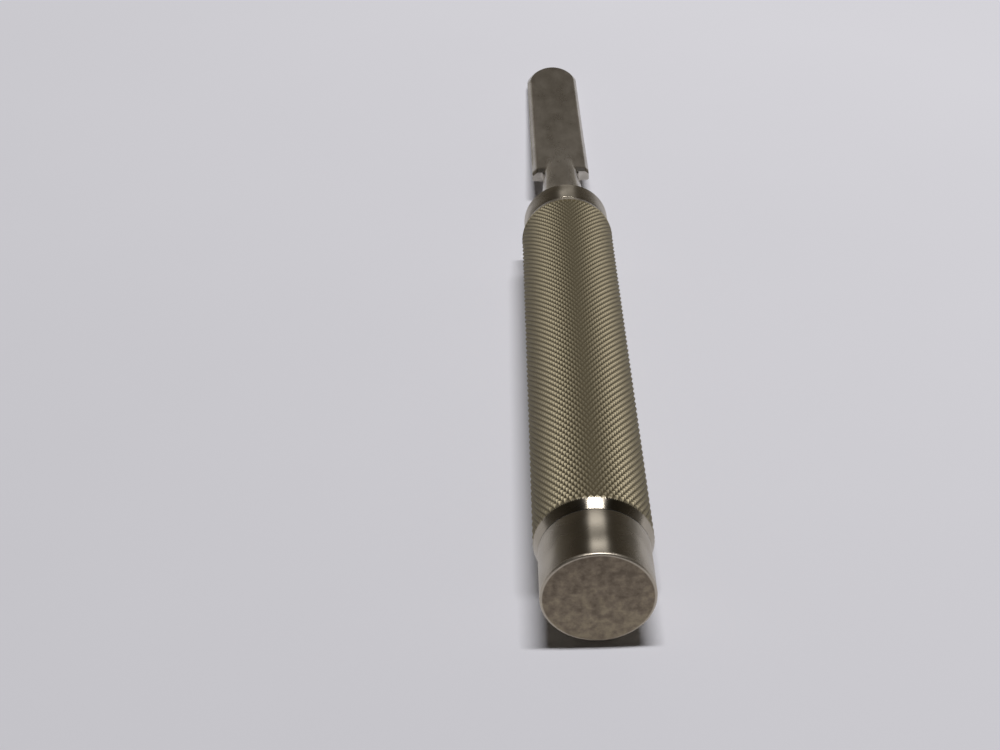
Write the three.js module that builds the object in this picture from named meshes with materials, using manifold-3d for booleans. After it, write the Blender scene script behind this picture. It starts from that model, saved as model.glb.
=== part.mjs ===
// A round-nosed bone elevator: a heavy built-up handle with a knurled grip, struck on its flat
// butt with a mallet, and a tongue-shaped blade that dips forward on a tapered neck. Everything
// but one washer is stainless steel.
//
// Millimetres, +Z up. The tool lies on its grip, its long axis along Y, with the butt towards -Y
// and the blade towards +Y. The origin is on the ground, under the middle of the length.
// Each piece is drawn about its own long axis, with y counted from the butt face, and the
// group at the end puts the whole tool in place.

import * as THREE from 'three';
import { mergeVertices } from 'three/addons/utils/BufferGeometryUtils.js';
import Module from 'manifold-3d';

const wasm = await Module();
wasm.setup();

// ---- Driving dimensions ----
const TOTAL_LENGTH = 219;
const GRIP_RADIUS = 9.5; // over the crests of the knurl
const BAND_RADIUS = 8.8; // smooth butt band
const COLLAR_RADIUS = 8.9; // smooth front collar
const GRIP_START = 10.4; // y where the knurled sleeve begins
const GRIP_END = 111.8; // y where it ends
const COLLAR_END = 118; // y of the collar's flat front face
const SHOULDER = 146; // y of the blade's square shoulders
const BLADE_WIDTH = 13.1;

// ---- Fits and small edges ----
const GAP = 0.1; // between pieces that touch
const EDGE = 0.45; // turned chamfer on the butt and the collar
const CONE_LENGTH = 2.15; // tapered end of the sleeve, past the knurl
const SIDES = 48; // flats round a turned surface

// ---- Inside the handle ----
const BORE_RADIUS = 6.8; // through the sleeve
const SPIGOT_RADIUS = BORE_RADIUS - GAP;
const SPIGOT_LENGTH = 13.6; // of the cap and of the collar, inside the sleeve
const TANG_RADIUS = 4;
const TANG_LENGTH = 44; // behind the collar's front face
const STUD_RADIUS = 3;
const STUD_DEPTH = 9; // into the cap, and into the core
const WASHER_THICKNESS = 0.8;
const PIN_RADIUS = 1.5;
const PIN_BEHIND_COLLAR = 32; // from the collar's front face to the cross pin

// ---- Neck and blade ----
const FOOT_RADIUS = 6.4; // flared foot of the neck, on the collar
const NECK_RADIUS = 3.95; // where it meets the blade
const NECK_RUN_IN = 17; // the neck dies into the blade over this length
const TOP_EDGE = 1.15; // from the blade's middle plane up to its top, at the two long edges
const UNDER_EDGE = 1.4; // and down to its underside
const TOP_CROWN = 0.75; // rise of the blade's top from edge to middle
const UNDER_CROWN = 0.6; // the same below
const ROLLED_EDGE = 0.8; // rounding of the top's long edges
const NOSE_LENGTH = 9.5; // length over which the outline rounds off
const NOSE_THICKNESS = 0.9; // at the tip
const DIP = 0.12; // downward slope of neck and blade where they leave the collar
const DIP_EASE = 0.00045; // per mm: the slope eases off again towards the nose
const BENT_STEP = 6; // longest edge on the blade before it is bent

// ---- Places worked out from the dimensions above ----
const CAP_SPIGOT_END = GRIP_START + SPIGOT_LENGTH;
const COLLAR_SPIGOT_START = GRIP_END - SPIGOT_LENGTH;
const CORE_START = CAP_SPIGOT_END + WASHER_THICKNESS + 2 * GAP;
const CORE_END = COLLAR_SPIGOT_START - GAP;
const TANG_END = COLLAR_END - TANG_LENGTH;
const PIN_AT = COLLAR_END - PIN_BEHIND_COLLAR;
const HALF_WIDTH = BLADE_WIDTH / 2;
const BLADE_LENGTH = TOTAL_LENGTH - SHOULDER;

// ---- Solids and cuts ----

// Flats drawn round a circle stand at its true radius when the corners are this much further out.
const CORNER_REACH = 1 / Math.cos(Math.PI / SIDES);

// A turned shape about the Y axis, from [radius, y] pairs, with one flat facing straight down.
function turned(pairs) {
  const outline = pairs.map(([radius, y]) => new THREE.Vector2(radius * CORNER_REACH, y));
  return new THREE.LatheGeometry(outline, SIDES, Math.PI / SIDES);
}

// A round bar across the tool, along X.
function crossBar(radius, length, y) {
  const bar = new THREE.CylinderGeometry(radius, radius, length, 24);
  bar.rotateZ(Math.PI / 2);
  bar.translate(0, y, 0);
  return bar;
}

// The same shape as a solid that can be cut and joined.
function solid(geometry) {
  const bare = geometry.clone();
  bare.deleteAttribute('normal');
  bare.deleteAttribute('uv');
  const merged = mergeVertices(bare, 1e-4);
  const corners = Array.from(merged.index.array);
  const kept = [];
  for (let i = 0; i < corners.length; i += 3) {
    const [a, b, c] = corners.slice(i, i + 3);
    if (a !== b && b !== c && c !== a) {
      kept.push(a, b, c);
    }
  }
  return new wasm.Manifold(new wasm.Mesh({
    numProp: 3,
    vertProperties: new Float32Array(merged.attributes.position.array),
    triVerts: new Uint32Array(kept),
  }));
}

// A solid's surface, ready to be shown.
function surface(body) {
  const mesh = body.getMesh();
  const geometry = new THREE.BufferGeometry();
  geometry.setAttribute('position', new THREE.BufferAttribute(mesh.vertProperties, 3));
  geometry.setIndex(new THREE.BufferAttribute(mesh.triVerts, 1));
  const flat = geometry.toNonIndexed();
  flat.computeVertexNormals();
  return flat;
}

// ---- Finishes ----

function steel(color, roughness) {
  return new THREE.MeshStandardMaterial({ color, roughness, metalness: 1 });
}

const SATIN_BLADE = steel(0x8e897f, 0.38);
const TURNED_BRIGHT = steel(0x9b9484, 0.28);
const KNURLED = steel(0x8c8470, 0.42);
const STRUCK_CAP = steel(0x928a7d, 0.36);
const PLAIN_INNER = steel(0x8a8a88, 0.5);
const SOFT_WASHER = steel(0xa8683f, 0.45);

// ---- The pieces ----

// Striking cap: flat butt face, smooth band, and a spigot that sits in the sleeve.
function buttCap() {
  return turned([
    [0, 0],
    [BAND_RADIUS - EDGE, 0],
    [BAND_RADIUS, EDGE],
    [BAND_RADIUS, GRIP_START - GAP],
    [SPIGOT_RADIUS, GRIP_START - GAP],
    [SPIGOT_RADIUS, CAP_SPIGOT_END],
    [STUD_RADIUS + GAP, CAP_SPIGOT_END],
    [STUD_RADIUS + GAP, CAP_SPIGOT_END - STUD_DEPTH],
    [0, CAP_SPIGOT_END - STUD_DEPTH],
  ]);
}

// Knurled sleeve, drawn to the crests, with a smooth cone turned on each end.
function gripSleeve() {
  return turned([
    [BORE_RADIUS, GRIP_START],
    [BAND_RADIUS, GRIP_START],
    [GRIP_RADIUS, GRIP_START + CONE_LENGTH],
    [GRIP_RADIUS, GRIP_END - CONE_LENGTH],
    [COLLAR_RADIUS, GRIP_END],
    [BORE_RADIUS, GRIP_END],
    [BORE_RADIUS, GRIP_START],
  ]);
}

// Nose collar: it closes the front of the sleeve, and the blade's tang runs through it.
function frontCollar() {
  const hole = TANG_RADIUS + GAP;
  return turned([
    [hole, COLLAR_SPIGOT_START],
    [SPIGOT_RADIUS, COLLAR_SPIGOT_START],
    [SPIGOT_RADIUS, GRIP_END + GAP],
    [COLLAR_RADIUS, GRIP_END + GAP],
    [COLLAR_RADIUS, COLLAR_END - EDGE],
    [COLLAR_RADIUS - EDGE, COLLAR_END],
    [hole, COLLAR_END],
    [hole, COLLAR_SPIGOT_START],
  ]);
}

// Solid core: it carries the blow from the cap to the tang, and fills the sleeve.
function coreRod() {
  const socket = TANG_RADIUS + GAP;
  const tapped = STUD_RADIUS + GAP;
  const blank = turned([
    [0, CORE_START + STUD_DEPTH],
    [tapped, CORE_START + STUD_DEPTH],
    [tapped, CORE_START],
    [SPIGOT_RADIUS, CORE_START],
    [SPIGOT_RADIUS, CORE_END],
    [socket, CORE_END],
    [socket, TANG_END - GAP],
    [0, TANG_END - GAP],
  ]);
  const drilled = solid(blank).subtract(solid(crossBar(PIN_RADIUS + GAP, 4 * BORE_RADIUS, PIN_AT)));
  return surface(drilled);
}

// Cross pin that locks the tang in the core.
function tangPin() {
  return crossBar(PIN_RADIUS, 2 * (SPIGOT_RADIUS - GAP), PIN_AT);
}

// Stud that draws the cap up against the core.
function capStud() {
  return turned([
    [0, CAP_SPIGOT_END - STUD_DEPTH + GAP],
    [STUD_RADIUS, CAP_SPIGOT_END - STUD_DEPTH + GAP],
    [STUD_RADIUS, CORE_START + STUD_DEPTH - GAP],
    [0, CORE_START + STUD_DEPTH - GAP],
  ]);
}

// Soft washer between cap and core: it is crushed a little, so that both ends bear.
function capWasher() {
  const start = CAP_SPIGOT_END + GAP;
  const end = start + WASHER_THICKNESS;
  const hole = STUD_RADIUS + GAP;
  return turned([
    [hole, start],
    [SPIGOT_RADIUS, start],
    [SPIGOT_RADIUS, end],
    [hole, end],
    [hole, start],
  ]);
}

// The blade seen from above: straight sides and a long rounded nose.
function bladePlan() {
  const height = 12;
  const outline = new THREE.Shape();
  outline.moveTo(-HALF_WIDTH, SHOULDER);
  outline.lineTo(HALF_WIDTH, SHOULDER);
  outline.absellipse(0, TOTAL_LENGTH - NOSE_LENGTH, HALF_WIDTH, NOSE_LENGTH, 0, Math.PI, false);
  const prism = new THREE.ExtrudeGeometry(outline, {
    depth: height,
    bevelEnabled: false,
    curveSegments: 20,
  });
  prism.translate(0, 0, -height / 2);
  return prism;
}

// The blade's cross-section: a low crown above and below, and rolled upper edges.
function bladeSection() {
  const flatHalf = HALF_WIDTH - ROLLED_EDGE;
  const wallTop = TOP_EDGE - ROLLED_EDGE;
  const outline = new THREE.Shape();
  outline.moveTo(-HALF_WIDTH, -UNDER_EDGE);
  outline.quadraticCurveTo(0, -UNDER_EDGE - 2 * UNDER_CROWN, HALF_WIDTH, -UNDER_EDGE);
  outline.lineTo(HALF_WIDTH, wallTop);
  outline.quadraticCurveTo(HALF_WIDTH, TOP_EDGE, flatHalf, TOP_EDGE);
  outline.quadraticCurveTo(0, TOP_EDGE + 2 * TOP_CROWN, -flatHalf, TOP_EDGE);
  outline.quadraticCurveTo(-HALF_WIDTH, TOP_EDGE, -HALF_WIDTH, wallTop);
  const prism = new THREE.ExtrudeGeometry(outline, {
    depth: BLADE_LENGTH + 2,
    bevelEnabled: false,
    curveSegments: 10,
  });
  prism.rotateX(Math.PI / 2);
  prism.translate(0, TOTAL_LENGTH + 1, 0);
  return prism;
}

// The blade seen from the side: even at the shoulders, then thinning from below to the nose.
function bladeSide() {
  const width = BLADE_WIDTH + 2;
  const top = TOP_EDGE + TOP_CROWN;
  const under = UNDER_EDGE + UNDER_CROWN;
  const nose = TOTAL_LENGTH - NOSE_LENGTH;
  const tipTop = TOP_EDGE - ROLLED_EDGE;
  const outline = new THREE.Shape();
  outline.moveTo(SHOULDER - 1, -under);
  outline.lineTo(SHOULDER + BLADE_LENGTH / 3, -under);
  outline.quadraticCurveTo(nose, -under, TOTAL_LENGTH, tipTop - NOSE_THICKNESS);
  outline.lineTo(TOTAL_LENGTH, tipTop);
  outline.quadraticCurveTo(TOTAL_LENGTH - 1, top, nose, top);
  outline.lineTo(SHOULDER - 1, top);
  const prism = new THREE.ExtrudeGeometry(outline, {
    depth: width,
    bevelEnabled: false,
    curveSegments: 10,
  });
  const alongY = new THREE.Vector3(0, 1, 0);
  const alongZ = new THREE.Vector3(0, 0, 1);
  const alongX = new THREE.Vector3(1, 0, 0);
  prism.applyMatrix4(new THREE.Matrix4().makeBasis(alongY, alongZ, alongX));
  prism.translate(-width / 2, 0, 0);
  return prism;
}

// Tang, flared foot and tapered neck, turned in one, with a point that dies into the blade.
function neckAndTang() {
  const foot = COLLAR_END + GAP;
  const flare = new THREE.QuadraticBezierCurve(
    new THREE.Vector2(FOOT_RADIUS, foot + 1),
    new THREE.Vector2(NECK_RADIUS + 0.5, foot + 6),
    new THREE.Vector2(NECK_RADIUS, SHOULDER + 0.5),
  );
  const runIn = new THREE.QuadraticBezierCurve(
    new THREE.Vector2(NECK_RADIUS, SHOULDER + 0.5),
    new THREE.Vector2(NECK_RADIUS * 0.6, SHOULDER + NECK_RUN_IN * 0.35),
    new THREE.Vector2(0, SHOULDER + NECK_RUN_IN),
  );
  const curved = [...flare.getPoints(8), ...runIn.getPoints(6).slice(1)];
  return turned([
    [0, TANG_END],
    [TANG_RADIUS, TANG_END],
    [TANG_RADIUS, foot],
    [FOOT_RADIUS, foot],
    ...curved.map((point) => [point.x, point.y]),
  ]);
}

// Lowers a point of the straight blade to where the forging's forward dip takes it.
function dip(point) {
  const ahead = Math.max(point[1] - COLLAR_END, 0);
  point[2] -= DIP * ahead - DIP_EASE * ahead * ahead;
}

// The blade forging: blade, neck and tang in one piece, with the hole for the cross pin.
function blade() {
  const tongue = solid(bladePlan()).intersect(solid(bladeSection())).intersect(solid(bladeSide()));
  const whole = tongue.refineToLength(BENT_STEP).add(solid(neckAndTang())).warp(dip);
  const pinHole = solid(crossBar(PIN_RADIUS + GAP, 4 * TANG_RADIUS, PIN_AT));
  return surface(whole.subtract(pinHole));
}

// ---- The tool ----

const PIECES = [
  ['butt_cap', buttCap(), STRUCK_CAP],
  ['cap_stud', capStud(), PLAIN_INNER],
  ['cap_washer', capWasher(), SOFT_WASHER],
  ['core_rod', coreRod(), PLAIN_INNER],
  ['grip_sleeve', gripSleeve(), KNURLED],
  ['tang_pin', tangPin(), PLAIN_INNER],
  ['front_collar', frontCollar(), TURNED_BRIGHT],
  ['blade', blade(), SATIN_BLADE],
];

const elevator = new THREE.Group();
for (const [name, geometry, material] of PIECES) {
  const mesh = new THREE.Mesh(geometry, material);
  mesh.name = name;
  elevator.add(mesh);
}
elevator.position.set(0, -TOTAL_LENGTH / 2, GRIP_RADIUS);

export default elevator;
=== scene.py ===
"""A built-up bone elevator lying on a pale table: struck butt cap, knurled sleeve, nose collar, blade.

Metres throughout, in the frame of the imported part: the long axis along Y, the butt at low y, the
table at z = 0. Every piece is turned or lofted here about that axis, to the boxes of its CAD node.
Neck and blade dip forward, towards the table, as they leave the collar.
"""

import math
from collections import namedtuple

import bmesh
import bpy
import numpy as np
from mathutils import Matrix, Vector


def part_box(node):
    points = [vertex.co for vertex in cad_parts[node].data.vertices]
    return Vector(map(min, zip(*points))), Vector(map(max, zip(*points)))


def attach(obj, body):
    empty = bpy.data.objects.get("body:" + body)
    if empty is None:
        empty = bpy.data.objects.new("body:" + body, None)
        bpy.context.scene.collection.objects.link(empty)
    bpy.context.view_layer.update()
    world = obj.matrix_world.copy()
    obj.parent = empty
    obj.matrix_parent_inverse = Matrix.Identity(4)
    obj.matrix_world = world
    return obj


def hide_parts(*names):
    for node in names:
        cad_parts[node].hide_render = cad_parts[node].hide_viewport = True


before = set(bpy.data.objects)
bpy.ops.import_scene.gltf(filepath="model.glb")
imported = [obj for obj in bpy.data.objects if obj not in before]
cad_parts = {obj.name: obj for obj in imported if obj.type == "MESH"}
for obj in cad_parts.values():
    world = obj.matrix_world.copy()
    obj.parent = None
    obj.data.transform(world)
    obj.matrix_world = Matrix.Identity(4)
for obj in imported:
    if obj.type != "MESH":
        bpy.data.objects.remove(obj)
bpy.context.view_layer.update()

MM = 0.001

# ---- Sizes read from the frame ----

CAP_LOW, CAP_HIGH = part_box("butt_cap")
SLEEVE_LOW, SLEEVE_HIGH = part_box("grip_sleeve")
COLLAR_LOW, COLLAR_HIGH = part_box("front_collar")
BLADE_LOW, BLADE_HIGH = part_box("blade")
CORE_LOW, CORE_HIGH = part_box("core_rod")
STUD_LOW, STUD_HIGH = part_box("cap_stud")

AXIS_Z = (SLEEVE_LOW.z + SLEEVE_HIGH.z) / 2
CREST_RADIUS = (SLEEVE_HIGH.x - SLEEVE_LOW.x) / 2
BAND_RADIUS = (CAP_HIGH.x - CAP_LOW.x) / 2
COLLAR_RADIUS = (COLLAR_HIGH.x - COLLAR_LOW.x) / 2
SPIGOT_RADIUS = (CORE_HIGH.x - CORE_LOW.x) / 2
STUD_RADIUS = (STUD_HIGH.x - STUD_LOW.x) / 2

# ---- Fits, edges and the knurl ----

GAP = 0.1 * MM
EDGE = 0.45 * MM  # rounding of the butt's rim, and the collar's turned chamfer
SOFTENING = 0.08 * MM  # how far a broken corner reaches along each side
ROUND_SIDES = 256  # steps round a turned surface
CORNER_STEPS = 6  # points on a broken corner
BLOWS = 260  # dents in the striking face

KNURL_TEETH = 62  # crossing grooves each way round
KNURL_DEPTH = 0.25 * MM
KNURL_LENGTH_PITCH = 1.545 * MM  # from one diamond to the next along the grip
CREST_SHARE = 0.14  # flat top of a diamond, as a share of the pitch
CONE_LENGTH = 2.15 * MM  # smooth cone before each end of the knurl
SLEEVE_LENGTH = SLEEVE_HIGH.y - SLEEVE_LOW.y
COLUMNS = 3 * KNURL_TEETH  # of rhombs round the grip, three to a groove
ROWS = 2 * round(SLEEVE_LENGTH / (KNURL_LENGTH_PITCH / 6) / 2)  # of their corners, six to a diamond
ROW_STEP = SLEEVE_LENGTH / ROWS

# ---- Neck and blade ----

TANG_RADIUS = 4 * MM
FOOT_RADIUS = 6.4 * MM
NECK_HALF_WIDTH = 4.1 * MM  # where it meets the blade
NECK_HALF_HEIGHT = 2.25 * MM  # flattened there, so that it runs into the blade
NECK_FLATTENING = 0.6  # share of the neck's length over which it flattens
NECK_RUN_IN = 28 * MM  # the neck sinks into the blade over this length
FOOT_Y = COLLAR_HIGH.y + GAP  # where the neck stands on the collar
BLADE_LENGTH = 73 * MM  # from the shoulders to the tip of the nose
SHOULDER_Y = BLADE_HIGH.y - BLADE_LENGTH
HALF_WIDTH = (BLADE_HIGH.x - BLADE_LOW.x) / 2
NOSE_LENGTH = 9.5 * MM
TOP_EDGE = 1.15 * MM  # from the blade's middle surface up to its top, at the long edges
UNDER_EDGE = 1.4 * MM  # and down to its underside
TOP_CROWN = 0.35 * MM  # rise from the edges to the middle
UNDER_CROWN = 0.6 * MM
LEFT_ROLL = 1.35 * MM  # the upper edges are hand-rolled, the left one wider
RIGHT_ROLL = 0.9 * MM
UNDER_ROLL = 0.35 * MM
SHOULDER_FALL = 0.4 * MM  # the top falls off by this much to the shoulders
SHOULDER_SLOPE = 1.5 * MM  # over this length
COVE = 0.5 * MM  # hollow between the neck and the shoulders
COVE_EASE = 1.2 * MM  # and it fades out where the shoulder is narrower than this
FILLET = 0.5 * MM  # between the blade and the neck that sinks into it
FILLET_RUN = 12 * MM  # and it grows to that over this length
NOSE_THINNING = 0.55  # share of its depth that the underside loses by the tip
THINNING_START = 0.35  # share of the blade's length where that begins
GRAIN_WIDTH = MM / 9  # from one grinding line on the blade to the next
GRAIN_LENGTH = 3.846 * MM
DIP = 0.12  # downward slope of neck and blade where they leave the collar
DIP_EASE = 0.45  # per metre: the slope eases off again towards the nose

Corner = namedtuple("Corner", "radius y rounding finish steps", defaults=(0, 0, 1))


# ---- Small tools ----


def linear(hex_colour):
    """An sRGB colour such as "8f8a7e" as linear red, green, blue and alpha."""
    channels = [int(hex_colour[i:i + 2], 16) / 255 for i in (0, 2, 4)]
    bright = [c / 12.92 if c <= 0.04045 else ((c + 0.055) / 1.055) ** 2.4 for c in channels]
    return (*bright, 1)


def add(tree, kind, inputs=None, **settings):
    """Adds one node. settings are its own options; inputs are values or links for its sockets."""
    made = tree.nodes.new(kind)
    for name, value in settings.items():
        setattr(made, name, value)
    for socket, value in (inputs or {}).items():
        if isinstance(value, bpy.types.NodeSocket):
            tree.links.new(value, made.inputs[socket])
        else:
            made.inputs[socket].default_value = value
    return made


def ramp(tree, factor, stops):
    """A colour ramp through stops, which are (position, linear colour or grey level) pairs."""
    made = add(tree, "ShaderNodeValToRGB", {"Fac": factor})
    elements = made.color_ramp.elements
    while len(elements) < len(stops):
        elements.new(0.5)
    for element, (position, colour) in zip(elements, stops):
        element.position = position
        element.color = colour if isinstance(colour, tuple) else (colour, colour, colour, 1)
    return made.outputs["Color"]


def metal(name):
    """A new metal material: its node tree and its shader, which the caller finishes."""
    material = bpy.data.materials.new(name)
    material.use_nodes = True
    tree = material.node_tree
    shader = tree.nodes["Principled BSDF"]
    shader.inputs["Metallic"].default_value = 1
    return material, tree, shader


def place(tree):
    """The point on the piece, in metres, measured from the tool's own axis."""
    spot = add(tree, "ShaderNodeTexCoord").outputs["Object"]
    shifted = add(tree, "ShaderNodeVectorMath", {0: spot, 1: (0, 0, -AXIS_Z)}, operation="ADD")
    return shifted.outputs["Vector"]


def turning_lines(tree, spot, pitch):
    """Fine lines round the axis, one about every pitch: a value that hardly changes round the tool."""
    squash = (0.02 / pitch, 1 / pitch, 0.02 / pitch)
    stretched = add(tree, "ShaderNodeVectorMath", {0: spot, 1: squash}, operation="MULTIPLY")
    lines = add(
        tree,
        "ShaderNodeTexNoise",
        {"Vector": stretched.outputs["Vector"], "Scale": 1.0, "Detail": 3.0, "Roughness": 0.6},
    )
    return lines.outputs["Fac"]


def speckle(tree, spot, size, detail=3.0):
    """Blotches of about the given size."""
    made = add(
        tree,
        "ShaderNodeTexNoise",
        {"Vector": spot, "Scale": 0.5 / size, "Detail": detail, "Roughness": 0.6},
    )
    return made.outputs["Fac"]


def bump(tree, shader, height, depth):
    """Feeds a height value, worth depth metres from 0 to 1, into the shader's normal."""
    made = add(tree, "ShaderNodeBump", {"Height": height, "Distance": depth, "Strength": 1.0})
    tree.links.new(made.outputs["Normal"], shader.inputs["Normal"])


# ---- Materials ----


def turned_bright_steel():
    """Fine-turned, half-bright stainless: sharp round the tool, smeared along it by the tool lines."""
    material, tree, shader = metal("turned_bright_steel")
    spot = place(tree)
    # real turning lines are about 0.1 mm apart, too fine to show, so they are drawn coarser
    lines = turning_lines(tree, spot, 0.35 * MM)
    smears = speckle(tree, spot, 2 * MM, 0.5)
    shader.inputs["Base Color"].default_value = linear("b2aa9a")
    rough = ramp(tree, smears, [(0.35, 0.22), (0.65, 0.31)])
    tree.links.new(rough, shader.inputs["Roughness"])
    round_axis = add(tree, "ShaderNodeTangent", direction_type="RADIAL", axis="Y")
    tree.links.new(round_axis.outputs["Tangent"], shader.inputs["Tangent"])
    shader.inputs["Anisotropic"].default_value = 0.95
    shader.inputs["Anisotropic Rotation"].default_value = 0.25
    bump(tree, shader, lines, 0.0005 * MM)
    return material


def struck_steel():
    """Mallet-beaten stainless: dull, mottled and pitted, lighter low down by a painted reflection of
    the paper, burnished at the rim.
    """
    material, tree, shader = metal("struck_steel")
    spot = place(tree)
    height = add(tree, "ShaderNodeSeparateXYZ", {"Vector": spot}).outputs["Z"]
    mottle = speckle(tree, spot, 0.7 * MM, 5.0)
    # painted reflection: the colour is lighter low down, where the face would mirror the bright paper,
    # and darker towards its top
    painted_reflection_low = add(
        tree,
        "ShaderNodeMath",
        {0: height, 1: -0.13 / BAND_RADIUS, 2: mottle},
        operation="MULTIPLY_ADD",
    )
    colour = ramp(
        tree,
        painted_reflection_low.outputs["Value"],
        [(0.3, linear("73685a")), (0.5, linear("8a7e6d")), (0.7, linear("a2967f"))],
    )
    flat = add(tree, "ShaderNodeVectorMath", {0: spot, 1: (1, 0, 1)}, operation="MULTIPLY")
    reach = add(tree, "ShaderNodeVectorMath", {0: flat.outputs["Vector"]}, operation="LENGTH")
    rim = add(
        tree,
        "ShaderNodeMapRange",
        {
            "Value": reach.outputs["Value"],
            "From Min": BAND_RADIUS - 0.5 * MM,
            "From Max": BAND_RADIUS - 0.3 * MM,
        },
    ).outputs["Result"]
    whole = add(
        tree,
        "ShaderNodeMix",
        {0: rim, 6: colour, 7: linear("beb5a5")},
        data_type="RGBA",
    )
    tree.links.new(whole.outputs[2], shader.inputs["Base Color"])
    rough = ramp(tree, speckle(tree, spot, 0.4 * MM), [(0.3, 0.45), (0.7, 0.6)])
    burnished = add(tree, "ShaderNodeMapRange", {"Value": rim, "To Min": rough, "To Max": 0.4})
    tree.links.new(burnished.outputs["Result"], shader.inputs["Roughness"])
    bump(tree, shader, speckle(tree, spot, 0.25 * MM, 4.0), 0.03 * MM)
    return material


def knurled_steel():
    """Rolled diamond knurl: burnished crests and dull grooves, with painted shade that darkens the
    colour towards the groove bottoms.
    """
    material, tree, shader = metal("knurled_steel")
    spot = place(tree)
    flat = add(tree, "ShaderNodeVectorMath", {0: spot, 1: (1, 0, 1)}, operation="MULTIPLY")
    radius = add(tree, "ShaderNodeVectorMath", {0: flat.outputs["Vector"]}, operation="LENGTH")
    height = add(
        tree,
        "ShaderNodeMapRange",
        {
            "Value": radius.outputs["Value"],
            "From Min": CREST_RADIUS - KNURL_DEPTH,
            "From Max": CREST_RADIUS - 0.02 * MM,
        },
    )
    # painted shade: the colour darkens from the crests down into the groove bottoms
    colour = ramp(
        tree,
        height.outputs["Result"],
        [(0.0, linear("7f7660")), (0.6, linear("9d947b")), (1.0, linear("afa68d"))],
    )
    tree.links.new(colour, shader.inputs["Base Color"])
    rough = ramp(tree, height.outputs["Result"], [(0.0, 0.62), (1.0, 0.56)])
    tree.links.new(rough, shader.inputs["Roughness"])
    bump(tree, shader, speckle(tree, spot, 0.12 * MM), 0.006 * MM)
    return material


def satin_steel():
    """Belt-finished blade: a satin top with fine lengthwise lines and smears, bright rolled edges."""
    material, tree, shader = metal("satin_steel")
    spot = place(tree)
    lines = (1 / GRAIN_WIDTH, 1 / GRAIN_LENGTH, 1 / GRAIN_WIDTH)
    along = add(tree, "ShaderNodeVectorMath", {0: spot, 1: lines}, operation="MULTIPLY")
    grain = add(
        tree,
        "ShaderNodeTexNoise",
        {"Vector": along.outputs["Vector"], "Scale": 1.0, "Detail": 2.0},
    )
    drawn_out = add(tree, "ShaderNodeVectorMath", {0: spot, 1: (1, 0.35, 1)}, operation="MULTIPLY")
    smears = speckle(tree, drawn_out.outputs["Vector"], 1.6 * MM)
    tone = ramp(tree, smears, [(0.35, linear("a9a49b")), (0.65, linear("c6c1b8"))])
    tree.links.new(tone, shader.inputs["Base Color"])
    facing = add(tree, "ShaderNodeNewGeometry").outputs["Normal"]
    upward = add(tree, "ShaderNodeSeparateXYZ", {"Vector": facing}).outputs["Z"]
    satin = ramp(tree, smears, [(0.35, 0.27), (0.7, 0.34)])
    flat_top = ramp(tree, upward, [(0.9, 0.0), (0.97, 1.0)])
    rough = add(
        tree,
        "ShaderNodeMapRange",
        {"Value": flat_top, "To Min": 0.2, "To Max": satin},
    )
    tree.links.new(rough.outputs["Result"], shader.inputs["Roughness"])
    bump(tree, shader, grain.outputs["Fac"], 0.0012 * MM)
    return material


def machined_steel():
    """Plain machined stainless, as left by the tool: grey, even, with coarse turning lines."""
    material, tree, shader = metal("machined_steel")
    spot = place(tree)
    lines = turning_lines(tree, spot, 0.3 * MM)
    shader.inputs["Base Color"].default_value = linear("b0afab")
    rough = ramp(tree, lines, [(0.3, 0.38), (0.7, 0.5)])
    tree.links.new(rough, shader.inputs["Roughness"])
    bump(tree, shader, lines, 0.004 * MM)
    return material


def soft_copper():
    """Annealed copper washer: dull and reddish, with darker tarnish in blotches."""
    material, tree, shader = metal("soft_copper")
    spot = place(tree)
    tarnish = speckle(tree, spot, 1.5 * MM)
    colour = ramp(tree, tarnish, [(0.35, linear("8a4f35")), (0.7, linear("c67f5c"))])
    tree.links.new(colour, shader.inputs["Base Color"])
    shader.inputs["Roughness"].default_value = 0.42
    bump(tree, shader, tarnish, 0.01 * MM)
    return material


def table_paper():
    """Smooth white paper: matt, a little cool, with painted light that makes it a shade greyer towards
    one corner.
    """
    material = bpy.data.materials.new("table_paper")
    material.use_nodes = True
    tree = material.node_tree
    shader = tree.nodes["Principled BSDF"]
    spot = add(tree, "ShaderNodeTexCoord").outputs["Object"]
    # painted light: the paper is lighter towards the right and the far side and greyer towards the near
    # left, as the lamp falls on it; the speckle is its own uneven tone
    painted_light_drift = add(
        tree,
        "ShaderNodeVectorMath",
        {0: spot, 1: (0.4, 0.45, 0)},
        operation="DOT_PRODUCT",
    )
    across = add(
        tree,
        "ShaderNodeMapRange",
        {"Value": painted_light_drift.outputs["Value"], "From Min": -0.12, "From Max": 0.12},
    )
    shade = add(
        tree,
        "ShaderNodeMath",
        {0: speckle(tree, spot, 60 * MM), 1: 0.2, 2: across.outputs["Result"]},
        operation="MULTIPLY_ADD",
    )
    tone = ramp(
        tree,
        shade.outputs["Value"],
        [(0.0, linear("dbdbdf")), (1.0, linear("f3f3f7"))],
    )
    tree.links.new(tone, shader.inputs["Base Color"])
    shader.inputs["Roughness"].default_value = 0.9
    shader.inputs["Specular IOR Level"].default_value = 0.2
    return material


# ---- Mesh code ----


def mesh_object(name, points, faces, finishes, materials, smooth):
    """A mesh from points, faces and one finish number a face. smooth is one flag, or one a face."""
    mesh = bpy.data.meshes.new(name)
    mesh.from_pydata([tuple(p) for p in points], [], faces)
    for material in materials:
        mesh.materials.append(material)
    mesh.polygons.foreach_set("material_index", np.asarray(finishes, np.int32))
    flags = np.full(len(faces), smooth) if isinstance(smooth, bool) else np.asarray(smooth)
    mesh.polygons.foreach_set("use_smooth", flags.astype(bool))
    mesh.validate()
    mesh.update()
    made = bpy.data.objects.new(name, mesh)
    bpy.context.scene.collection.objects.link(made)
    return made


def toward(start, goal, distance):
    """The point that lies this distance from start on the way to goal."""
    return start + (goal - start) / np.linalg.norm(goal - start) * distance


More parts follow.
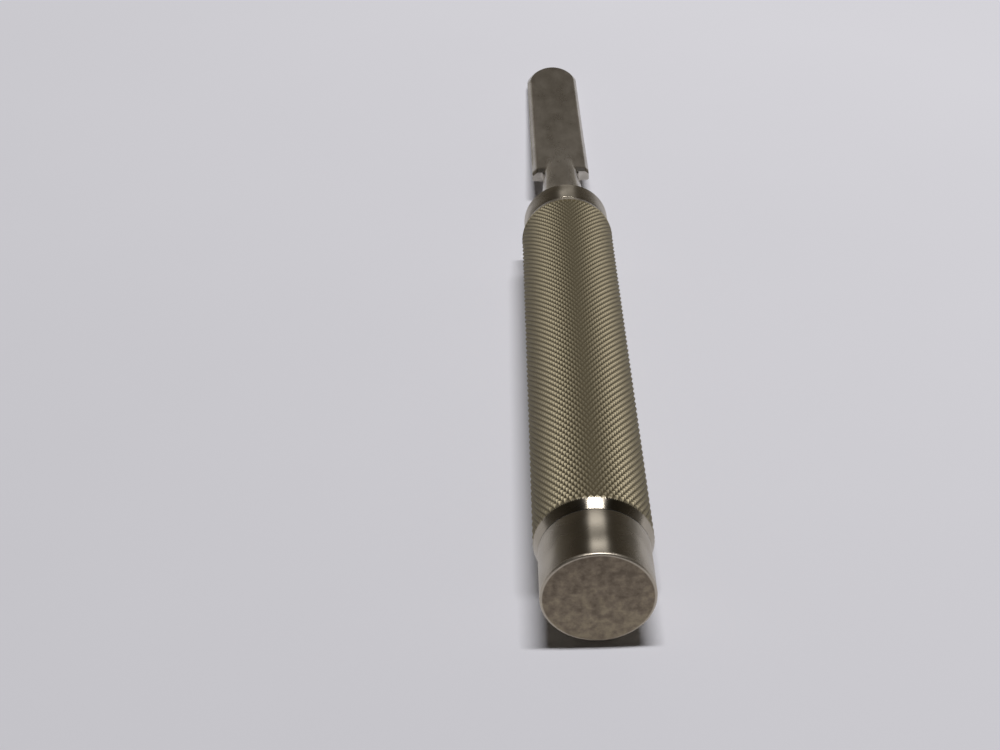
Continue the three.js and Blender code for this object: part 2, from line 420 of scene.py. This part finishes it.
def softened(corners, closed):
    """The outline through the corners, each rounded off, as (radius, y, finish) points."""
    points = []
    count = len(corners)
    for i, corner in enumerate(corners):
        here = np.array([corner.radius, corner.y])
        nxt = corners[(i + 1) % count]
        after = np.array([nxt.radius, nxt.y])
        prev = corners[i - 1]
        before = np.array([prev.radius, prev.y])
        ends = not closed and i in (0, count - 1)
        if corner.rounding and not ends:
            start = toward(here, before, corner.rounding)
            stop = toward(here, after, corner.rounding)
            for t in np.linspace(0, 1, CORNER_STEPS):
                bent = (1 - t) ** 2 * start + 2 * t * (1 - t) * here + t * t * stop
                points.append((*bent, corner.finish))
            here = stop
        else:
            points.append((*here, corner.finish))
        if corner.steps > 1:
            goal = toward(after, here, nxt.rounding) if nxt.rounding else after
            for t in np.linspace(0, 1, corner.steps + 1)[1:-1]:
                points.append((*(here + t * (goal - here)), corner.finish))
    return points


def turned(corners, closed=False):
    """Points, faces and finishes of a turned shape. The outline runs from low y, out, to high y."""
    outline = softened(corners, closed)
    sides = ROUND_SIDES
    angles = np.arange(sides) * 2 * math.pi / sides
    points, rings = [], []
    for radius, y, _ in outline:
        start = len(points)
        if radius < 1e-9:
            points.append((0, y, AXIS_Z))
            rings.append([start] * sides)
        else:
            x, z = radius * np.cos(angles), AXIS_Z + radius * np.sin(angles)
            points.extend(zip(x, np.full(sides, y), z))
            rings.append(list(range(start, start + sides)))
    faces, finishes = [], []
    spans = len(outline) if closed else len(outline) - 1
    for i in range(spans):
        low, high = rings[i], rings[(i + 1) % len(outline)]
        for k in range(sides):
            n = (k + 1) % sides
            corner_ids = [low[k], high[k], high[n], low[n]]
            faces.append(tuple(dict.fromkeys(corner_ids)))
            finishes.append(outline[i][2])
    return np.array(points), faces, finishes


def keep_edges_crisp(piece, degrees=30):
    piece.data.set_sharp_from_angle(angle=math.radians(degrees))


# ---- Butt cap ----


def blows(x, z):
    """How far mallet blows have pushed the striking face in at each point, never below zero."""
    rng = np.random.default_rng(11)
    depth = np.zeros_like(x)
    # each blow falls somewhere, with its own width, depth and stretch
    for _ in range(BLOWS):
        reach = BAND_RADIUS * 0.95 * rng.random() ** 0.65
        turn = rng.random() * 2 * math.pi
        size = rng.uniform(0.2, 1.1) * MM
        strength = rng.uniform(0.01, 0.05) * MM
        dx, dz = x - reach * math.cos(turn), z - reach * math.sin(turn)
        stretch = rng.uniform(0.5, 1.0)
        distance = (dx * dx + dz * dz * stretch) / size ** 2
        depth += strength * np.exp(-distance)
    return depth


def butt_cap(materials):
    """Cap with a beaten face and rim, a smooth band, and its spigot inside the sleeve."""
    face, band, inner = 0, 1, 2
    seat = SLEEVE_LOW.y - GAP
    hole = STUD_RADIUS + GAP
    corners = [
        Corner(0, CAP_LOW.y, 0, face, 60),
        Corner(BAND_RADIUS, CAP_LOW.y, EDGE, face),
        Corner(BAND_RADIUS, CAP_LOW.y + EDGE + SOFTENING, 0, band, 4),
        Corner(BAND_RADIUS, seat, SOFTENING, inner),
        Corner(SPIGOT_RADIUS, seat, 0, inner),
        Corner(SPIGOT_RADIUS, CAP_HIGH.y, 3 * SOFTENING, inner),
        Corner(hole, CAP_HIGH.y, 3 * SOFTENING, inner),
        Corner(hole, STUD_LOW.y - GAP, SOFTENING, inner),
        Corner(0, STUD_LOW.y - GAP, 0, inner),
    ]
    points, faces, finishes = turned(corners)
    x, z = points[:, 0], points[:, 2] - AXIS_Z
    reach = np.hypot(x, z)
    on_face = (points[:, 1] < CAP_LOW.y + EDGE) & (reach < BAND_RADIUS - 1e-6)
    # the dents are a quarter as deep on the rim itself, and at their full depth well inside it
    from_rim = np.clip((BAND_RADIUS - reach) / (0.8 * MM), 0, 1)
    points[on_face, 1] += (blows(x, z) * (0.25 + 0.75 * from_rim))[on_face]
    piece = mesh_object("butt_cap_visual", points, faces, finishes, materials, True)
    keep_edges_crisp(piece)
    return piece


# ---- Knurled sleeve ----


def end_cone(y):
    """Radius of the smooth cone at each end of the sleeve; it reaches the crests of the knurl."""
    past_end = np.minimum(y - SLEEVE_LOW.y, SLEEVE_HIGH.y - y)
    end_radius = np.where(y < (SLEEVE_LOW.y + SLEEVE_HIGH.y) / 2, BAND_RADIUS, COLLAR_RADIUS)
    cone = end_radius + (CREST_RADIUS - end_radius) * past_end / CONE_LENGTH
    return np.minimum(cone, CREST_RADIUS)


def knurl_points():
    """Corners of the sleeve's outer grid, and whether each is in the knurl or on an end cone."""
    row, column = np.meshgrid(np.arange(ROWS + 1), np.arange(COLUMNS), indexing="ij")
    half_turns = 2 * column + row % 2
    # where the two sets of grooves put this corner: 0 is in a groove, 1 and 2 on a crest's edge
    in_up = (row + half_turns) // 2 % 3
    in_down = (row - half_turns) // 2 % 3
    even = np.array([0, 1, 2]) / 3
    wanted = np.array([0, (1 - CREST_SHARE) / 2, (1 + CREST_SHARE) / 2])
    slide = (wanted - even) * 3
    knurled = np.minimum(row, ROWS - row) * ROW_STEP > CONE_LENGTH
    slide_up = np.where(knurled, slide[in_up], 0)
    slide_down = np.where(knurled, slide[in_down], 0)
    y = SLEEVE_LOW.y + (row + slide_up + slide_down) * ROW_STEP
    angle = (half_turns + slide_up - slide_down) * math.pi / COLUMNS
    crest = (in_up > 0) & (in_down > 0)
    radius = np.where(crest, CREST_RADIUS, CREST_RADIUS - KNURL_DEPTH)
    radius = np.where(knurled, radius, end_cone(y))
    points = np.stack([radius * np.cos(angle), y, AXIS_Z + radius * np.sin(angle)], -1)
    return points.reshape(-1, 3), knurled.reshape(-1)


def corner_index(row, half_turns):
    """Number of the outer grid's corner that is in this row, half_turns half columns round."""
    return row * COLUMNS + (half_turns % (2 * COLUMNS)) // 2


def knurl_faces():
    """Triangles of the outer grid: rhombs folded in two, and half rhombs along both its ends."""
    row, column = np.meshgrid(np.arange(ROWS - 1), np.arange(COLUMNS), indexing="ij")
    half_turns = 2 * column + row % 2
    bottom = corner_index(row, half_turns)
    right = corner_index(row + 1, half_turns + 1)
    left = corner_index(row + 1, half_turns - 1)
    top = corner_index(row + 2, half_turns)
    in_up = (row + half_turns) // 2 % 3
    in_down = (row - half_turns) // 2 % 3
    # a rhomb at a diamond's corner is folded along its ridge, which runs round the grip on these
    folded_round = ((in_up != in_down) & (in_up != 1) & (in_down != 1))[..., None]
    first = np.where(
        folded_round,
        np.stack([bottom, left, right], -1),
        np.stack([bottom, top, right], -1),
    )
    second = np.where(
        folded_round,
        np.stack([right, left, top], -1),
        np.stack([bottom, left, top], -1),
    )
    turn = 2 * np.arange(COLUMNS)
    start = [corner_index(0, turn), corner_index(1, turn + 1), corner_index(0, turn + 2)]
    end = [corner_index(ROWS, turn), corner_index(ROWS, turn + 2), corner_index(ROWS - 1, turn + 1)]
    parts = [first.reshape(-1, 3), second.reshape(-1, 3), np.stack(start, -1), np.stack(end, -1)]
    return np.concatenate(parts)


def sleeve_bore(base):
    """Points of the two bore edges, and the faces of end rings and bore. base is their first number."""
    turn = np.arange(COLUMNS)
    around = turn * 2 * math.pi / COLUMNS
    radius = SPIGOT_RADIUS + GAP
    x, z = radius * np.cos(around), AXIS_Z + radius * np.sin(around)
    edges = [np.stack([x, np.full(COLUMNS, y), z], -1) for y in (SLEEVE_LOW.y, SLEEVE_HIGH.y)]
    loops = [
        corner_index(0, 2 * turn),
        base + turn,
        base + COLUMNS + turn,
        corner_index(ROWS, 2 * turn),
    ]
    after = (turn + 1) % COLUMNS
    faces = [np.stack([a, a[after], b[after], b], -1) for a, b in zip(loops[:-1], loops[1:])]
    return np.concatenate(edges), np.concatenate(faces)


def knurled_sleeve(materials):
    """Sleeve whose outside is a grid of rhombs along both knurl directions, nine to a diamond."""
    knurl, bright, inner = 0, 1, 2
    points, knurled = knurl_points()
    outside = knurl_faces()
    bore_points, inside = sleeve_bore(len(points))
    on_cone = ~knurled[outside].any(1)
    finishes = np.concatenate([np.where(on_cone, bright, knurl), np.full(len(inside), inner)])
    smooth = np.concatenate([on_cone, np.full(len(inside), True)])
    faces = [tuple(face) for face in outside.tolist() + inside.tolist()]
    points = np.concatenate([points, bore_points])
    piece = mesh_object("grip_sleeve_visual", points, faces, finishes, materials, smooth)
    keep_edges_crisp(piece, 25)
    return piece


# ---- Front collar ----


def front_collar(materials):
    """Collar with a flat front face, broken edges and its spigot inside the sleeve."""
    band, inner = 0, 1
    hole = TANG_RADIUS + GAP
    seat = SLEEVE_HIGH.y + GAP
    corners = [
        Corner(hole, COLLAR_LOW.y, 3 * SOFTENING, inner),
        Corner(SPIGOT_RADIUS, COLLAR_LOW.y, 3 * SOFTENING, inner),
        Corner(SPIGOT_RADIUS, seat, 0, inner),
        Corner(COLLAR_RADIUS, seat, SOFTENING, band, 4),
        Corner(COLLAR_RADIUS, COLLAR_HIGH.y - EDGE, SOFTENING, band),
        Corner(COLLAR_RADIUS - EDGE, COLLAR_HIGH.y, SOFTENING, band, 4),
        Corner(hole, COLLAR_HIGH.y, SOFTENING, inner, 4),
    ]
    points, faces, finishes = turned(corners, closed=True)
    piece = mesh_object("front_collar_visual", points, faces, finishes, materials, True)
    keep_edges_crisp(piece)
    return piece


# ---- Blade ----

SATIN_FINISH, INNER_FINISH = 0, 1  # places in the blade's list of materials


def smooth_step(t):
    t = np.clip(t, 0, 1)
    return t * t * (3 - 2 * t)


def either(a, b, blend):
    """The larger of a and b, with the corner between them filleted over about blend."""
    return (a + b + np.sqrt((a - b) ** 2 + blend ** 2 + 1e-18)) / 2


def half_width(y):
    """Half the blade's width at y: straight sides, then a long elliptical nose."""
    into_nose = np.clip((y - (BLADE_HIGH.y - NOSE_LENGTH)) / NOSE_LENGTH, 0, 1)
    return HALF_WIDTH * np.sqrt(np.clip(1 - into_nose ** 2, 0, 1))


def inset(x, y):
    """How far a point of the plan lies inside the blade's outline, and nothing if it is outside."""
    from_side = HALF_WIDTH - np.abs(x)
    into_nose = np.maximum(y - (BLADE_HIGH.y - NOSE_LENGTH), 0)
    share = (x / HALF_WIDTH) ** 2 + (into_nose / NOSE_LENGTH) ** 2
    slope = 2 * np.sqrt(x ** 2 / HALF_WIDTH ** 4 + into_nose ** 2 / NOSE_LENGTH ** 4) + 1e-9
    return np.maximum(np.where(into_nose > 0, (1 - share) / slope, from_side), 0)


def rolled(depth, radius):
    """How far a rolled edge has dropped at this depth inside it: eased in, then near 45 degrees."""
    near = np.clip(radius - depth, 0, radius)
    ease = 0.3 * radius
    return np.sqrt(near ** 2 + ease ** 2) - ease


def neck_size(y):
    """Half the neck's width and half its height: flared foot, then flatter towards the blade."""
    t = np.clip((y - FOOT_Y) / (SHOULDER_Y - FOOT_Y), 0, 1)
    wide = NECK_HALF_WIDTH + (FOOT_RADIUS - NECK_HALF_WIDTH) * (1 - t) ** 1.7
    flattened = np.clip(t / NECK_FLATTENING, 0, 1)
    high = NECK_HALF_HEIGHT + (FOOT_RADIUS - NECK_HALF_HEIGHT) * (1 - flattened) ** 2
    sink = 1 - np.clip((y - SHOULDER_Y) / NECK_RUN_IN, 0, 1) ** 1.5
    return wide, high * sink


def dip(y):
    """How far the forging's forward dip lowers it at y."""
    ahead = np.maximum(y - COLLAR_HIGH.y, 0)
    return DIP * ahead - DIP_EASE * ahead ** 2


def blade_height(x, y, edge, crown, roll, fall, thinning):
    """Height of the blade's top, or depth of its underside, from its middle surface."""
    toward_nose = np.clip((y - SHOULDER_Y) / BLADE_LENGTH, 0, 1)
    thinned = smooth_step((toward_nose - THINNING_START) / (1 - THINNING_START))
    crowned = edge + crown * (1 - (x / HALF_WIDTH) ** 2) ** 2
    plate = crowned * (1 - thinning * thinned) - rolled(inset(x, y), roll)
    plate = plate - fall * np.clip(1 - (y - SHOULDER_Y) / SHOULDER_SLOPE, 0, 1)
    wide, high = neck_size(y)
    neck = high * np.sqrt(np.maximum(1 - (x / wide) ** 2, 0))
    fillet = FILLET * smooth_step((y - SHOULDER_Y) / FILLET_RUN) * (1 - toward_nose)
    return either(plate, neck, fillet)


def blade_section(y, side):
    """The blade's section on one side (1 right, -1 left), from mid top out and back to mid bottom."""
    width = half_width(y)
    share = np.sin(np.linspace(0, 1, 41) * math.pi / 2)
    x = share * width
    roll = LEFT_ROLL + (RIGHT_ROLL - LEFT_ROLL) * smooth_step((side * x + 3 * MM) / (6 * MM))
    top = blade_height(x, y, TOP_EDGE, TOP_CROWN, roll, SHOULDER_FALL, 0)
    under = -blade_height(x, y, UNDER_EDGE, UNDER_CROWN, UNDER_ROLL, 0, NOSE_THINNING)
    wall = np.linspace(0, 1, 5)[1:-1, None]
    top_edge = np.array([[x[-1], top[-1]]])
    under_edge = np.array([[x[-1], under[-1]]])
    edge_wall = top_edge * (1 - wall) + under_edge * wall
    upper = np.stack([x, top], -1)
    lower = np.stack([x, under], -1)[::-1]
    return np.concatenate([upper, edge_wall, lower])


def shoulder_bearings(section):
    """Where each point of the shoulders' section has its partner round the neck, as an angle.

    A point that neck and blade share is its own partner. Those outside the neck are spread evenly.
    """
    wide, high = (float(size) for size in neck_size(SHOULDER_Y))
    squashed = section / (wide, high)
    outside = np.hypot(squashed[:, 0], squashed[:, 1]) > 1 + 1e-5
    first = int(np.argmax(outside))
    last = len(outside) - 1 - int(np.argmax(outside[::-1]))
    bearing = np.arctan2(squashed[:, 1], squashed[:, 0])
    steps = np.linalg.norm(np.diff(section, axis=0), axis=1)
    run = np.concatenate([[0], np.cumsum(steps)])
    share = (run - run[first - 1]) / (run[last + 1] - run[first - 1])
    spread = bearing[first - 1] + share * (bearing[last + 1] - bearing[first - 1])
    return np.where(outside, spread, bearing)


def tang_rings(circle):
    """Sections of the tang and of the neck's flat foot, from low y up: (x and height, y, finish)."""
    edge = 4 * SOFTENING
    return [
        (circle * 0, BLADE_LOW.y, INNER_FINISH),
        (circle * (TANG_RADIUS - edge), BLADE_LOW.y, INNER_FINISH),
        (circle * TANG_RADIUS, BLADE_LOW.y + edge, INNER_FINISH),
        (circle * TANG_RADIUS, FOOT_Y, INNER_FINISH),
        (circle * (FOOT_RADIUS - SOFTENING), FOOT_Y, SATIN_FINISH),
    ]


def neck_rings(circle, section):
    """Sections of the neck. The last few turn out, in a cove, towards the shoulders' section."""
    rings = []
    for y in np.linspace(FOOT_Y + SOFTENING, SHOULDER_Y - COVE, 40):
        rings.append((circle * neck_size(y), y, SATIN_FINISH))
    out = section - circle * neck_size(SHOULDER_Y)
    width = np.linalg.norm(out, axis=1)
    free = smooth_step(width / COVE_EASE)[:, None]
    outward = out / np.maximum(width, 1e-9)[:, None]
    for turn in np.radians([22.5, 45, 67.5, 90]):
        reach = COVE * (1 - math.cos(turn))
        y = SHOULDER_Y - COVE * (1 - math.sin(turn))
        rings.append((circle * neck_size(y) + outward * reach * free, y, SATIN_FINISH))
    return rings


def blade_rings(side):
    """Sections of the blade, closer together at the shoulders and at the tip of the nose."""
    nose_start = BLADE_HIGH.y - NOSE_LENGTH
    steps = np.concatenate([
        SHOULDER_Y + np.linspace(0, SHOULDER_SLOPE, 4),
        SHOULDER_Y + np.linspace(SHOULDER_SLOPE, NECK_RUN_IN, 40)[1:],
        np.linspace(SHOULDER_Y + NECK_RUN_IN, nose_start, 42)[1:],
        nose_start + NOSE_LENGTH * np.sin(np.linspace(0, 1, 33)[1:] * math.pi / 2),
    ])
    return [(blade_section(y, side), y, SATIN_FINISH) for y in steps]


def blade_half(side):
    """Half sections of tang, neck and blade on one side, from low y up: (x and height, y, finish)."""
    section = blade_section(SHOULDER_Y, side)
    bearing = shoulder_bearings(section)
    circle = np.stack([np.cos(bearing), np.sin(bearing)], -1)
    return tang_rings(circle) + neck_rings(circle, section) + blade_rings(side)


def blade(materials):
    """Blade, neck and tang, lofted through two half sections and lowered by the forward dip."""
    points, finishes, faces = [], [], []
    for (right, y, finish), (left, _, _) in zip(blade_half(1), blade_half(-1)):
        flat = np.concatenate([right, left[1:-1][::-1] * (-1, 1)])
        height = flat[:, 1] + AXIS_Z - dip(y)
        points.append(np.stack([flat[:, 0], np.full(len(flat), y), height], -1))
        finishes.append(finish)
    around = len(points[0])
    turn = np.arange(around)
    after = (turn + 1) % around
    for i in range(len(points) - 1):
        low, high = i * around, (i + 1) * around
        faces.extend(np.stack([low + turn, low + after, high + after, high + turn], -1).tolist())
    finishes = np.repeat(finishes[:-1], around)
    piece = mesh_object("blade_visual", np.concatenate(points), faces, finishes, materials, True)
    weld(piece)
    keep_edges_crisp(piece, 35)
    return piece


def weld(piece):
    """Joins corners that lie on each other, and turns all faces to point out."""
    work = bmesh.new()
    work.from_mesh(piece.data)
    bmesh.ops.remove_doubles(work, verts=work.verts, dist=0.0005 * MM)
    bmesh.ops.dissolve_degenerate(work, edges=work.edges, dist=0.0001 * MM)
    bmesh.ops.recalc_face_normals(work, faces=work.faces)
    work.to_mesh(piece.data)
    work.free()


# ---- Table, lights and camera ----


def table(material):
    """A wide pale table top under the tool."""
    reach, cells = 3.0, 24
    ticks = np.linspace(-reach, reach, cells + 1)
    points = [(x, y, 0) for y in ticks for x in ticks]
    faces = []
    for j in range(cells):
        for i in range(cells):
            a = j * (cells + 1) + i
            faces.append((a, a + 1, a + cells + 2, a + cells + 1))
    piece = mesh_object("table_top", points, faces, [0] * len(faces), [material], True)


def area_light(name, at, aim, size, power, colour):
    light = bpy.data.lights.new(name, "AREA")
    light.shape = "RECTANGLE"
    light.size, light.size_y = size
    light.energy = power
    light.color = linear(colour)[:3]
    holder = bpy.data.objects.new(name, light)
    holder.location = at
    holder.rotation_euler = (Vector(aim) - Vector(at)).to_track_quat("-Z", "Y").to_euler()
    bpy.context.scene.collection.objects.link(holder)


def room_light():
    """A dim, warm room: lightest low down and ahead of the tool, nearly dark overhead."""
    world = bpy.data.worlds.new("dim_room")
    world.use_nodes = True
    tree = world.node_tree
    toward = add(tree, "ShaderNodeTexCoord").outputs["Generated"]
    parts = add(tree, "ShaderNodeSeparateXYZ", {"Vector": toward})
    height = ramp(
        tree,
        parts.outputs["Z"],
        [
            (0.0, linear("b4afa6")),
            (0.05, linear("9c968c")),
            (0.13, linear("7c766e")),
            (0.25, linear("756f67")),
            (0.38, linear("665f56")),
            (0.7, linear("423d35")),
            (1.0, linear("2c2924")),
        ],
    )
    ahead = add(
        tree,
        "ShaderNodeMapRange",
        {"Value": parts.outputs["Y"], "From Min": 0.5, "From Max": 1.0, "To Min": 0.3, "To Max": 1.0},
    )
    background = tree.nodes["Background"]
    tree.links.new(height, background.inputs["Color"])
    tree.links.new(ahead.outputs["Result"], background.inputs["Strength"])
    return world


def lights():
    """One long tube across the ceiling, in a room that is otherwise dim."""
    right_of_tool, ceiling = 0.2, 2.6
    length, width, watts = 1.2, 0.1, 51
    at, below = (right_of_tool, 0, ceiling), (right_of_tool, 0, 0)
    area_light("ceiling_tube", at, below, (length, width), watts, "fdfcff")
    bpy.context.scene.world = room_light()


def camera():
    """Looks down the tool from its butt end, from the left of its axis."""
    eye = Vector((-10.87 * MM, -267.55 * MM, 158.06 * MM))
    down, left, tilt = math.radians(34.312), math.radians(0.926), math.radians(-2.044)
    ahead = Vector((
        -math.sin(left) * math.cos(down),
        math.cos(left) * math.cos(down),
        -math.sin(down),
    ))
    level = Vector((math.cos(left), math.sin(left), 0))
    above = level.cross(ahead)
    right = level * math.cos(tilt) + above * math.sin(tilt)
    up = above * math.cos(tilt) - level * math.sin(tilt)
    data = bpy.data.cameras.new("view")
    data.sensor_width = 36
    data.lens = 51.965
    data.clip_start = 0.01
    holder = bpy.data.objects.new("view", data)
    turn = Matrix((right, up, -ahead)).transposed().to_4x4()
    holder.matrix_world = Matrix.Translation(eye) @ turn
    bpy.context.scene.collection.objects.link(holder)
    bpy.context.scene.camera = holder


# ---- The scene ----

BRIGHT = turned_bright_steel()
STRUCK = struck_steel()
KNURLED = knurled_steel()
SATIN = satin_steel()
MACHINED = machined_steel()
COPPER = soft_copper()

PIECES = [
    (butt_cap([STRUCK, BRIGHT, MACHINED]), "butt_cap", "struck_steel"),
    (knurled_sleeve([KNURLED, BRIGHT, MACHINED]), "grip_sleeve", "knurled_steel"),
    (front_collar([BRIGHT, MACHINED]), "front_collar", "turned_steel"),
    (blade([SATIN, MACHINED]), "blade", "satin_blade_steel"),
]
for piece, node, slot in PIECES:
    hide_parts(node)
    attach(piece, "root")

INNER = {"core_rod": MACHINED, "cap_stud": MACHINED, "tang_pin": MACHINED, "cap_washer": COPPER}
for node, material in INNER.items():
    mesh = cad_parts[node].data
    mesh.materials.clear()
    mesh.materials.append(material)

table(table_paper())
lights()
camera()
bpy.context.scene.view_settings.view_transform = "Standard"
